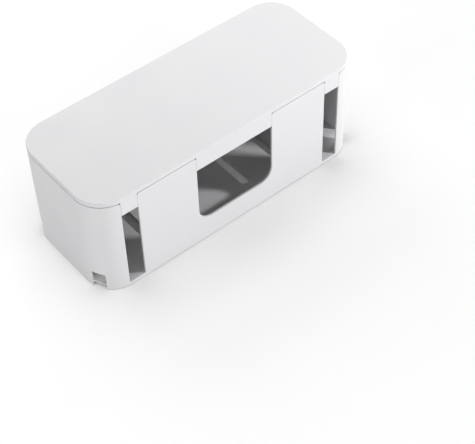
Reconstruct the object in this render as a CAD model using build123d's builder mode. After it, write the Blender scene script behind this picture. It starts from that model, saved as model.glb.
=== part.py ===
"""Cable management box: a moulded tub with a slotted front wall, a lift-off lid and four foot pads.

Millimetres. X runs along the box, the slotted front wall faces -Y, Z is up, and the
origin is on the supporting surface under the middle of the box.
"""

import os
from math import cos, radians, sin

from build123d import *

# Closed box
length = 400.0
width = 162.0
height = 150.0
corner_radius = 38.5
wall = 2.5

# Tub, measured up from the supporting surface
edge_z = 0.6  # lower edge of the walls, held clear of the surface by the pads
edge_round = 0.5
floor_underside = 3.5
floor_thickness = 2.5
floor_corner = 2.0  # inside fillet between floor and walls

# Front wall: a cable slot near each end and a window between two panels
slot_centre = 153.2
slot_width = 23.5
window_width = 114.6
window_sill = 34.7
window_corner = 20.0
panel_corner = 3.0  # rounding of the free upper corners beside each opening

# Cable notch at the foot of each rounded corner
notch_width = 19.0
notch_top = 27.0
notch_corner = 3.0
notch_angle = 28.0  # from the end wall's normal towards the long wall's

# Floor slots, for air and tie straps
floor_slot_centres = (-105.0, -45.0, 45.0, 105.0)
floor_slot_width = 13.0
floor_slot_length = 93.0

# Lid
lid_band = 6.8  # visible height of the lid's edge, with the shadow gap below it
lid_edge_round = 0.6
seam_height = 1.2  # shadow gap between the lid's edge and the tub's rim
seam_depth = 1.2
skirt_clearance = 0.4
skirt_wall = 2.0
skirt_depth = 7.2  # below the tub's rim
tab_bottom = 122.8
tab_clearance = 0.25
rib_wall = 1.8
rib_depth = 4.0
rib_spacing = 100.0
rib_count = 3

# Foot pads and the rings that locate them
foot_radius = 7.0
foot_bevel = 0.6
foot_spacing_x = 316.0
foot_spacing_y = 96.0
foot_ring_clearance = 0.25
foot_ring_wall = 1.2
foot_ring_height = 1.2

# Derived
rim_z = height - lid_band
floor_top = floor_underside + floor_thickness
front_y = -width / 2
plate_underside = height - wall
skirt_inset = wall + skirt_clearance
foot_ring_bore = foot_radius + foot_ring_clearance
over = 1.0  # how far a cutter runs past what it cuts


def outline(inset, mode=Mode.ADD):
    """Draws the box's plan, a given distance inside its outer face, in the sketch that is open."""
    RectangleRounded(length - 2 * inset, width - 2 * inset, corner_radius - inset, mode=mode)


os.makedirs("parts", exist_ok=True)

# Tub: a shell open at the top, then a low skirt that carries the walls below the floor
with BuildPart() as box_body:
    with BuildSketch(Plane.XY.offset(floor_underside)):
        outline(0)
    extrude(amount=rim_z - floor_underside)
    tub_mouth = box_body.faces().sort_by(Axis.Z)[-1]
    offset(amount=-wall, openings=tub_mouth)
    inner_floor = box_body.faces().filter_by(Axis.Z).sort_by(Axis.Z)[1]
    fillet(inner_floor.edges(), radius=floor_corner)

    with BuildSketch(Plane.XY.offset(edge_z)):
        outline(0)
        outline(wall, mode=Mode.SUBTRACT)
    extrude(amount=floor_underside - edge_z)
    fillet(box_body.faces().sort_by(Axis.Z)[0].outer_wire().edges(), radius=edge_round)

    # Cable slots, down to the floor and clear of its inside fillet
    with BuildSketch(Plane.XY.offset(floor_top)):
        with Locations((-slot_centre, front_y), (slot_centre, front_y)):
            Rectangle(slot_width, wall + floor_corner, align=(Align.CENTER, Align.MIN))
    extrude(amount=rim_z + over - floor_top, mode=Mode.SUBTRACT)

    # Window: open at the top until the lid's tab closes it
    with BuildSketch(Plane.XZ.offset(width / 2)):
        with Locations((0, window_sill)):
            Rectangle(window_width, rim_z + over - window_sill, align=(Align.CENTER, Align.MIN))
        fillet(vertices().group_by(Axis.Y)[0], radius=window_corner)
    extrude(amount=-(wall + over), mode=Mode.SUBTRACT)

    # Free upper corners of the panels and of the corner walls
    jamb_tops = (
        box_body.edges()
        .group_by(Axis.Z)[-1]
        .filter_by(Axis.Y)
        .filter_by_position(Axis.Y, front_y, front_y + wall)
    )
    fillet(jamb_tops, radius=panel_corner)

    # Cable notches, one through each rounded corner, square to the wall there
    for side_x in (-1, 1):
        for side_y in (-1, 1):
            outward = Vector(side_x * cos(radians(notch_angle)), side_y * sin(radians(notch_angle)))
            corner_axis = Vector(
                side_x * (length / 2 - corner_radius), side_y * (width / 2 - corner_radius)
            )
            notch_plane = Plane(
                origin=corner_axis, x_dir=(-outward.Y, outward.X, 0), z_dir=outward
            )
            with BuildSketch(notch_plane.offset(corner_radius - wall - floor_corner)):
                with Locations((0, edge_z - over)):
                    Rectangle(
                        notch_width, notch_top - edge_z + over, align=(Align.CENTER, Align.MIN)
                    )
                fillet(vertices().group_by(Axis.Y)[-1], radius=notch_corner)
            extrude(amount=wall + floor_corner + over, mode=Mode.SUBTRACT)

    with BuildSketch(Plane.XY.offset(floor_underside - over)):
        with Locations(*[(slot_x, 0) for slot_x in floor_slot_centres]):
            SlotOverall(floor_slot_length, floor_slot_width, rotation=90)
    extrude(amount=floor_thickness + 2 * over, mode=Mode.SUBTRACT)

    # Rings that locate the foot pads
    with BuildSketch(Plane.XY.offset(floor_underside)):
        with GridLocations(foot_spacing_x, foot_spacing_y, 2, 2):
            Circle(foot_ring_bore + foot_ring_wall)
            Circle(foot_ring_bore, mode=Mode.SUBTRACT)
    extrude(amount=-foot_ring_height)

box_body.part.label = "box_body"
export_step(box_body.part, "parts/box_body.step")

# Plan of the gaps that the lid's tabs close, wider than the wall so that its curve trims them
with BuildSketch() as tab_gaps:
    with Locations((-slot_centre, front_y), (slot_centre, front_y)):
        Rectangle(slot_width - 2 * tab_clearance, 2 * skirt_inset)
    with Locations((0, front_y)):
        Rectangle(window_width - 2 * tab_clearance, 2 * skirt_inset)

# Lid: a plate with a shallow edge, an inner skirt, and tabs that close the openings' tops
with BuildPart() as lid:
    with BuildSketch(Plane.XY.offset(rim_z + seam_height)):
        outline(0)
    extrude(amount=lid_band - seam_height)
    fillet(lid.faces().sort_by(Axis.Z)[-1].edges(), radius=lid_edge_round)
    with BuildSketch(Plane.XY.offset(rim_z + seam_height)):
        outline(skirt_inset)
    extrude(amount=plate_underside - rim_z - seam_height, mode=Mode.SUBTRACT)

    # Inset strip that makes the shadow gap and seats on the tub's rim
    with BuildSketch(Plane.XY.offset(rim_z)):
        outline(seam_depth)
        outline(skirt_inset, mode=Mode.SUBTRACT)
    extrude(amount=seam_height)

    with BuildSketch(Plane.XY.offset(rim_z - skirt_depth)):
        outline(skirt_inset)
        outline(skirt_inset + skirt_wall, mode=Mode.SUBTRACT)
    extrude(amount=plate_underside - rim_z + skirt_depth)

    # Tabs: flush with the tub's outer face, and curved with it where a slot meets a rounded corner
    with BuildSketch(Plane.XY.offset(tab_bottom)):
        outline(0)
        outline(skirt_inset, mode=Mode.SUBTRACT)
        add(tab_gaps.sketch, mode=Mode.INTERSECT)
    extrude(amount=plate_underside - tab_bottom)

    # Stiffening ribs, from the middle of one long skirt wall to the other
    with BuildSketch(Plane.XY.offset(plate_underside)):
        with GridLocations(rib_spacing, 0, rib_count, 1):
            Rectangle(rib_wall, width - 2 * skirt_inset - skirt_wall)
    extrude(amount=-rib_depth)

lid.part.label = "lid"
export_step(lid.part, "parts/lid.step")

# Foot pads, one under each corner of the floor
for name_x, side_x in (("left", -1), ("right", 1)):
    for name_y, side_y in (("front", -1), ("rear", 1)):
        with BuildPart() as foot_pad:
            with BuildSketch():
                with Locations((side_x * foot_spacing_x / 2, side_y * foot_spacing_y / 2)):
                    Circle(foot_radius)
            extrude(amount=floor_underside)
            chamfer(foot_pad.edges().sort_by(Axis.Z)[0], length=foot_bevel)
        foot_pad.part.label = f"foot_{name_y}_{name_x}"
        export_step(foot_pad.part, f"parts/{foot_pad.part.label}.step")
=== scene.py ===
"""Looks of a cable management box: finishes of its tub, lid and foot pads, light, floor and camera."""

import logging
import math
from dataclasses import dataclass, field
from enum import Enum

import bpy
from mathutils import Matrix, Vector


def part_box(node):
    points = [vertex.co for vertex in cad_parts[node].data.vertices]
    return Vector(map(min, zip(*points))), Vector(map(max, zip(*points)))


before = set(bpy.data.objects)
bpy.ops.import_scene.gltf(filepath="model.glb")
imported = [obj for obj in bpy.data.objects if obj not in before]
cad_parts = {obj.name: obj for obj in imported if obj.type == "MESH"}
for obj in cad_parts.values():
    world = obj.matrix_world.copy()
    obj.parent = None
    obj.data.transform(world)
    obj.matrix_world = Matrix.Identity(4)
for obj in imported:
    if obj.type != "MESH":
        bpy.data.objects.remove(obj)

MM = 0.001  # in metres, the scene's unit

log = logging.getLogger("cable_box")


class Slot(Enum):
    """The record's material slots."""

    SHELL = "shell"
    COVER = "cover"
    PAD = "pad"


# Node and colour helpers


def linear(hex_colour: str) -> tuple[float, float, float, float]:
    """Turns an sRGB hex colour into the linear colour that Blender's sockets take.

    Args:
        hex_colour: Six hex digits after a hash, such as "#E4E4E6".

    Returns:
        Linear red, green, blue and an alpha of 1.
    """
    channels = [int(hex_colour[i:i + 2], 16) / 255 for i in (1, 3, 5)]
    # The sRGB standard's curve: straight near black, a power above that
    return (*[c / 12.92 if c <= 0.04045 else ((c + 0.055) / 1.055) ** 2.4 for c in channels], 1.0)


def add_node(
    tree: bpy.types.NodeTree, kind: str, inputs: dict[str, object] | None = None, **settings: object
) -> bpy.types.Node:
    """Adds a shader node with its settings, values and incoming links.

    Args:
        tree: The node tree that it goes in.
        kind: Blender's class name of the node.
        inputs: Input name to a value, or to the output socket that feeds it.
        **settings: Attributes of the node, such as operation or data_type.

    Returns:
        The new node.
    """
    node = tree.nodes.new(kind)
    for name, value in settings.items():
        setattr(node, name, value)
    for name, value in (inputs or {}).items():
        if isinstance(value, bpy.types.NodeSocket):
            tree.links.new(value, node.inputs[name])
        else:
            node.inputs[name].default_value = value
    return node


def blank_material(name: str) -> tuple[bpy.types.Material, bpy.types.NodeTree]:
    """Makes a material whose node tree is empty.

    Args:
        name: The material's name.

    Returns:
        The material and its node tree.
    """
    material = bpy.data.materials.new(name)
    material.use_nodes = True
    material.node_tree.nodes.clear()
    return material, material.node_tree


# Finishes


@dataclass(frozen=True)
class MouldedPlastic:
    """Injection-moulded ABS from a finely spark-eroded mould: satin, even, with a faint grain.

    The pigment is a cool white, a little darker than the plastic looks under bright lamps, so
    the inside stays dark. The flow of the melt leaves very faint cloudy differences in tone and
    gloss some centimetres across.
    """

    name: str
    colour: str = "#CCCCCD"
    colour_thin: str = "#C9C9CB"
    roughness: float = 0.46
    roughness_swing: float = 0.05
    ior: float = 1.53
    cloud_mm: float = 70.0
    cloud_detail: float = 3.0
    cloud_falloff: float = 0.45
    # Nearly all of the noise lies between these two, so the gloss takes its whole swing
    cloud_low: float = 0.3
    cloud_high: float = 0.7
    # The mould's grain is about 0.15 mm, too fine to show, so it is drawn about this coarse
    grain_mm: float = 0.9
    grain_detail: float = 2.0
    grain_falloff: float = 0.6
    grain_height_mm: float = 0.006
    edge_round_mm: float = 0.35
    edge_samples: int = 6

    def build(self) -> bpy.types.Material:
        """Builds the material, with object coordinates in metres driving its patterns.

        Returns:
            The material.
        """
        material, tree = blank_material(self.name)
        place = add_node(tree, "ShaderNodeTexCoord")
        cloud = add_node(tree, "ShaderNodeTexNoise", {
            "Vector": place.outputs["Object"],
            "Scale": 1 / (self.cloud_mm * MM),
            "Detail": self.cloud_detail,
            "Roughness": self.cloud_falloff,
        })
        grain = add_node(tree, "ShaderNodeTexNoise", {
            "Vector": place.outputs["Object"],
            "Scale": 1 / (self.grain_mm * MM),
            "Detail": self.grain_detail,
            "Roughness": self.grain_falloff,
        })
        tone = add_node(tree, "ShaderNodeMix", {
            "Factor": cloud.outputs["Fac"],
            "A": linear(self.colour),
            "B": linear(self.colour_thin),
        }, data_type="RGBA")
        gloss = add_node(tree, "ShaderNodeMapRange", {
            "Value": cloud.outputs["Fac"],
            "From Min": self.cloud_low,
            "From Max": self.cloud_high,
            "To Min": self.roughness - self.roughness_swing,
            "To Max": self.roughness + self.roughness_swing,
        })
        soft_edge = add_node(tree, "ShaderNodeBevel", {
            "Radius": self.edge_round_mm * MM,
        }, samples=self.edge_samples)
        bump = add_node(tree, "ShaderNodeBump", {
            "Height": grain.outputs["Fac"],
            "Distance": self.grain_height_mm * MM,
            "Normal": soft_edge.outputs["Normal"],
        })
        surface = add_node(tree, "ShaderNodeBsdfPrincipled", {
            "Base Color": tone.outputs["Result"],
            "Roughness": gloss.outputs["Result"],
            "IOR": self.ior,
            "Normal": bump.outputs["Normal"],
        })
        add_node(tree, "ShaderNodeOutputMaterial", {"Surface": surface.outputs["BSDF"]})
        return material


@dataclass(frozen=True)
class SoftRubber:
    """Moulded pads of soft grey rubber: matt, with a fine grain and faint specks of tone."""

    name: str
    colour: str = "#A9A9AC"
    colour_deep: str = "#9A9A9E"
    roughness: float = 0.82
    ior: float = 1.52
    grain_mm: float = 0.5
    grain_detail: float = 4.0
    grain_falloff: float = 0.65
    grain_height_mm: float = 0.03

    def build(self) -> bpy.types.Material:
        """Builds the material, with object coordinates in metres driving its grain.

        Returns:
            The material.
        """
        material, tree = blank_material(self.name)
        place = add_node(tree, "ShaderNodeTexCoord")
        grain = add_node(tree, "ShaderNodeTexNoise", {
            "Vector": place.outputs["Object"],
            "Scale": 1 / (self.grain_mm * MM),
            "Detail": self.grain_detail,
            "Roughness": self.grain_falloff,
        })
        tone = add_node(tree, "ShaderNodeMix", {
            "Factor": grain.outputs["Fac"],
            "A": linear(self.colour),
            "B": linear(self.colour_deep),
        }, data_type="RGBA")
        bump = add_node(tree, "ShaderNodeBump", {
            "Height": grain.outputs["Fac"],
            "Distance": self.grain_height_mm * MM,
        })
        surface = add_node(tree, "ShaderNodeBsdfPrincipled", {
            "Base Color": tone.outputs["Result"],
            "Roughness": self.roughness,
            "IOR": self.ior,
            "Normal": bump.outputs["Normal"],
        })
        add_node(tree, "ShaderNodeOutputMaterial", {"Surface": surface.outputs["BSDF"]})
        return material


@dataclass(frozen=True)
class PaintedFloor:
    """Studio floor in flat white paint, even and without gloss."""

    name: str = "floor_flat_white_paint"
    colour: str = "#F6F6F6"
    colour_worn: str = "#F4F4F5"
    roughness: float = 0.9
    patch_mm: float = 300.0
    patch_detail: float = 2.0

    def build(self) -> bpy.types.Material:
        """Builds the material, with object coordinates in metres driving its faint patches.

        Returns:
            The material.
        """
        material, tree = blank_material(self.name)
        place = add_node(tree, "ShaderNodeTexCoord")
        patches = add_node(tree, "ShaderNodeTexNoise", {
            "Vector": place.outputs["Object"],
            "Scale": 1 / (self.patch_mm * MM),
            "Detail": self.patch_detail,
        })
        tone = add_node(tree, "ShaderNodeMix", {
            "Factor": patches.outputs["Fac"],
            "A": linear(self.colour),
            "B": linear(self.colour_worn),
        }, data_type="RGBA")
        surface = add_node(tree, "ShaderNodeBsdfPrincipled", {
            "Base Color": tone.outputs["Result"],
            "Roughness": self.roughness,
        })
        add_node(tree, "ShaderNodeOutputMaterial", {"Surface": surface.outputs["BSDF"]})
        return material


# Sub-assemblies


def dress(node: str, material: bpy.types.Material) -> None:
    """Gives a carried-over CAD node its finish and reports it.

    Args:
        node: The node's name.
        material: The finish that it shows.
    """
    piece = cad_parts[node]
    piece.data.materials.clear()
    piece.data.materials.append(material)
    low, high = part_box(node)
    size = [round(side / MM, 1) for side in high - low]
    log.info("%s: %s mm, %s, %d faces", node, size, material.name, len(piece.data.polygons))


@dataclass
class Tub:
    """The tub, one moulding with its floor."""

    node: str = "box_body"
    finish: MouldedPlastic = field(default_factory=lambda: MouldedPlastic("tub_abs_satin_white"))

    def build(self) -> None:
        """Dresses the tub."""
        dress(self.node, self.finish.build())


@dataclass
class Lid:
    """The lift-off lid, one moulding with its skirt, tabs and ribs."""

    node: str = "lid"
    finish: MouldedPlastic = field(default_factory=lambda: MouldedPlastic("lid_abs_satin_white"))

    def build(self) -> None:
        """Dresses the lid."""
        dress(self.node, self.finish.build())


@dataclass
class FootPads:
    """The four pads under the floor."""

    rows: tuple[str, ...] = ("front", "rear")
    sides: tuple[str, ...] = ("left", "right")
    finish: SoftRubber = field(default_factory=lambda: SoftRubber("pad_soft_grey_rubber"))

    def build(self) -> None:
        """Dresses each pad with one shared finish."""
        material = self.finish.build()
        for row in self.rows:
            for side in self.sides:
                dress(f"foot_{row}_{side}", material)


# Studio


class Reach(Enum):
    """What a lamp lights."""

    BOX = "the box alone"
    FLOOR = "the floor alone"


def direction(azimuth_deg: float, elevation_deg: float) -> Vector:
    """Gives the unit vector towards a place seen from the origin.

    Args:
        azimuth_deg: Degrees from -Y towards +X, in plan.
        elevation_deg: Degrees above the floor.

    Returns:
        The unit vector.
    """
    azimuth, elevation = math.radians(azimuth_deg), math.radians(elevation_deg)
    flat = math.cos(elevation)
    return Vector((math.sin(azimuth) * flat, -math.cos(azimuth) * flat, math.sin(elevation)))


@dataclass(frozen=True)
class Lamp:
    """A square soft light that points at the floor under the middle of the box.

    Its side and its distance are in metres, its power in watts.
    """

    name: str
    azimuth_deg: float
    elevation_deg: float
    side: float
    power: float
    distance: float = 2.0
    reach: Reach = Reach.BOX
    # Off for a lamp whose reflection would burn out the lid's top, seen from the other side
    in_gloss: bool = True

    def build(self, targets: dict[Reach, bpy.types.Collection]) -> None:
        """Hangs the lamp.

        Args:
            targets: For each reach, the collection of objects that it lights.
        """
        light = bpy.data.lights.new(self.name, "AREA")
        light.size = self.side
        light.energy = self.power
        lamp = bpy.data.objects.new(self.name, light)
        towards = direction(self.azimuth_deg, self.elevation_deg)
        lamp.location = towards * self.distance
        lamp.rotation_euler = towards.to_track_quat("Z", "Y").to_euler()
        bpy.context.scene.collection.objects.link(lamp)
        lamp.visible_glossy = self.in_gloss
        lamp.light_linking.receiver_collection = targets[self.reach]
        log.info("%s: %.2f m, %.1f W, lights %s", self.name, self.side, self.power, self.reach.value)


@dataclass
class Studio:
    """A pale floor in dim white surroundings, and the lamps.

    A small key lamp at the front right and soft fills light the box alone, and large lamps
    light the floor alone.
    """

    floor_side: float = 12.0
    surroundings_colour: str = "#FFFFFF"
    surroundings_strength: float = 0.3
    lamps: tuple[Lamp, ...] = (
        Lamp("key", 44.5, 33.0, side=0.12, power=8.3, distance=1.2, in_gloss=False),
        Lamp("fill_left", -80.0, 35.0, side=1.0, power=6.1),
        Lamp("fill_front_left", -45.0, 10.0, side=0.7, power=8.4),
        Lamp("fill_front", 0.0, 10.0, side=0.7, power=5.4),
        Lamp("fill_right", 85.0, 30.0, side=2.0, power=53.0, distance=4.0, in_gloss=False),
        Lamp("fill_right_back", 110.0, 40.0, side=2.0, power=59.0, distance=4.0, in_gloss=False),
        Lamp("fill_back_right", 150.0, 35.0, side=0.6, power=1.8, distance=1.0),
        Lamp("fill_back", 180.0, 40.0, side=0.6, power=2.2, distance=1.0),
        # Large and far off, so that the floor is pale and even in spite of the box's shadows
        Lamp("floor_above", 0.0, 89.0, side=7.0, power=194.0, distance=5.0, reach=Reach.FLOOR),
        Lamp("floor_front", 0.0, 30.0, side=3.0, power=45.0, distance=5.0, reach=Reach.FLOOR),
        Lamp("floor_back_right", 135.0, 30.0, side=3.0, power=28.0, distance=5.0, reach=Reach.FLOOR),
        Lamp("floor_back", 180.0, 30.0, side=3.0, power=54.0, distance=5.0, reach=Reach.FLOOR),
        Lamp("floor_back_left", -135.0, 30.0, side=3.0, power=18.0, distance=5.0, reach=Reach.FLOOR),
        Lamp("floor_left", -90.0, 30.0, side=3.0, power=37.0, distance=5.0, reach=Reach.FLOOR),
    )

    def build(self) -> None:
        """Makes the floor, the surroundings and the lamps."""
        floor = self._lay_floor()
        self._light_surroundings()
        targets = {
            Reach.BOX: self._gather("lit_box", list(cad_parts.values())),
            Reach.FLOOR: self._gather("lit_floor", [floor]),
        }
        for lamp in self.lamps:
            lamp.build(targets)

    def _gather(self, name: str, members: list[bpy.types.Object]) -> bpy.types.Collection:
        """Puts objects in a collection that lamps can be limited to.

        Args:
            name: The collection's name.
            members: The objects.

        Returns:
            The collection.
        """
        group = bpy.data.collections.new(name)
        for member in members:
            group.objects.link(member)
        return group

    def _lay_floor(self) -> bpy.types.Object:
        """Lays a square floor at the height that the box stands on.

        Returns:
            The floor.
        """
        half = self.floor_side / 2
        mesh = bpy.data.meshes.new("studio_floor")
        corners = [(-half, -half, 0), (half, -half, 0), (half, half, 0), (-half, half, 0)]
        mesh.from_pydata(corners, [], [(0, 1, 2, 3)])
        mesh.materials.append(PaintedFloor().build())
        floor = bpy.data.objects.new("studio_floor", mesh)
        bpy.context.scene.collection.objects.link(floor)
        log.info("studio_floor: %.0f m square", self.floor_side)
        return floor

    def _light_surroundings(self) -> None:
        """Makes the world an even white."""
        world = bpy.data.worlds.new("studio_surroundings")
        world.use_nodes = True
        world.node_tree.nodes.clear()
        glow = add_node(world.node_tree, "ShaderNodeBackground", {
            "Color": linear(self.surroundings_colour),
            "Strength": self.surroundings_strength,
        })
        add_node(world.node_tree, "ShaderNodeOutputWorld", {"Surface": glow.outputs["Background"]})
        bpy.context.scene.world = world


@dataclass
class Camera:
    """A long lens that looks down on the front left of the box.

    Its distance and its target are in metres.
    """

    azimuth_deg: float = -38.156
    elevation_deg: float = 48.103
    roll_deg: float = -1.927
    distance: float = 1.5283
    target: tuple[float, float, float] = (-0.0370, -0.1283, 0.0600)
    lens_mm: float = 98.12
    sensor_mm: float = 36.0

    def build(self) -> None:
        """Places the camera and makes it the scene's own."""
        data = bpy.data.cameras.new("camera")
        data.lens = self.lens_mm
        data.sensor_width = self.sensor_mm
        back = direction(self.azimuth_deg, self.elevation_deg)
        right = Vector((0, 0, 1)).cross(back).normalized()
        axes = Matrix((right, back.cross(right), back)).transposed()
        turn = axes @ Matrix.Rotation(math.radians(self.roll_deg), 3, "Z")
        camera = bpy.data.objects.new("camera", data)
        place = Vector(self.target) + back * self.distance
        camera.matrix_world = Matrix.Translation(place) @ turn.to_4x4()
        bpy.context.scene.collection.objects.link(camera)
        bpy.context.scene.camera = camera


def main() -> None:
    """Builds everything in order."""
    logging.basicConfig(level=logging.INFO, format="%(name)s %(message)s")
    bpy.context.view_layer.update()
    # Colours come out as they are lit, with no film curve over them
    bpy.context.scene.view_settings.view_transform = "Standard"
    for assembly in (Tub(), Lid(), FootPads(), Studio(), Camera()):
        assembly.build()


if __name__ == "__main__":
    main()
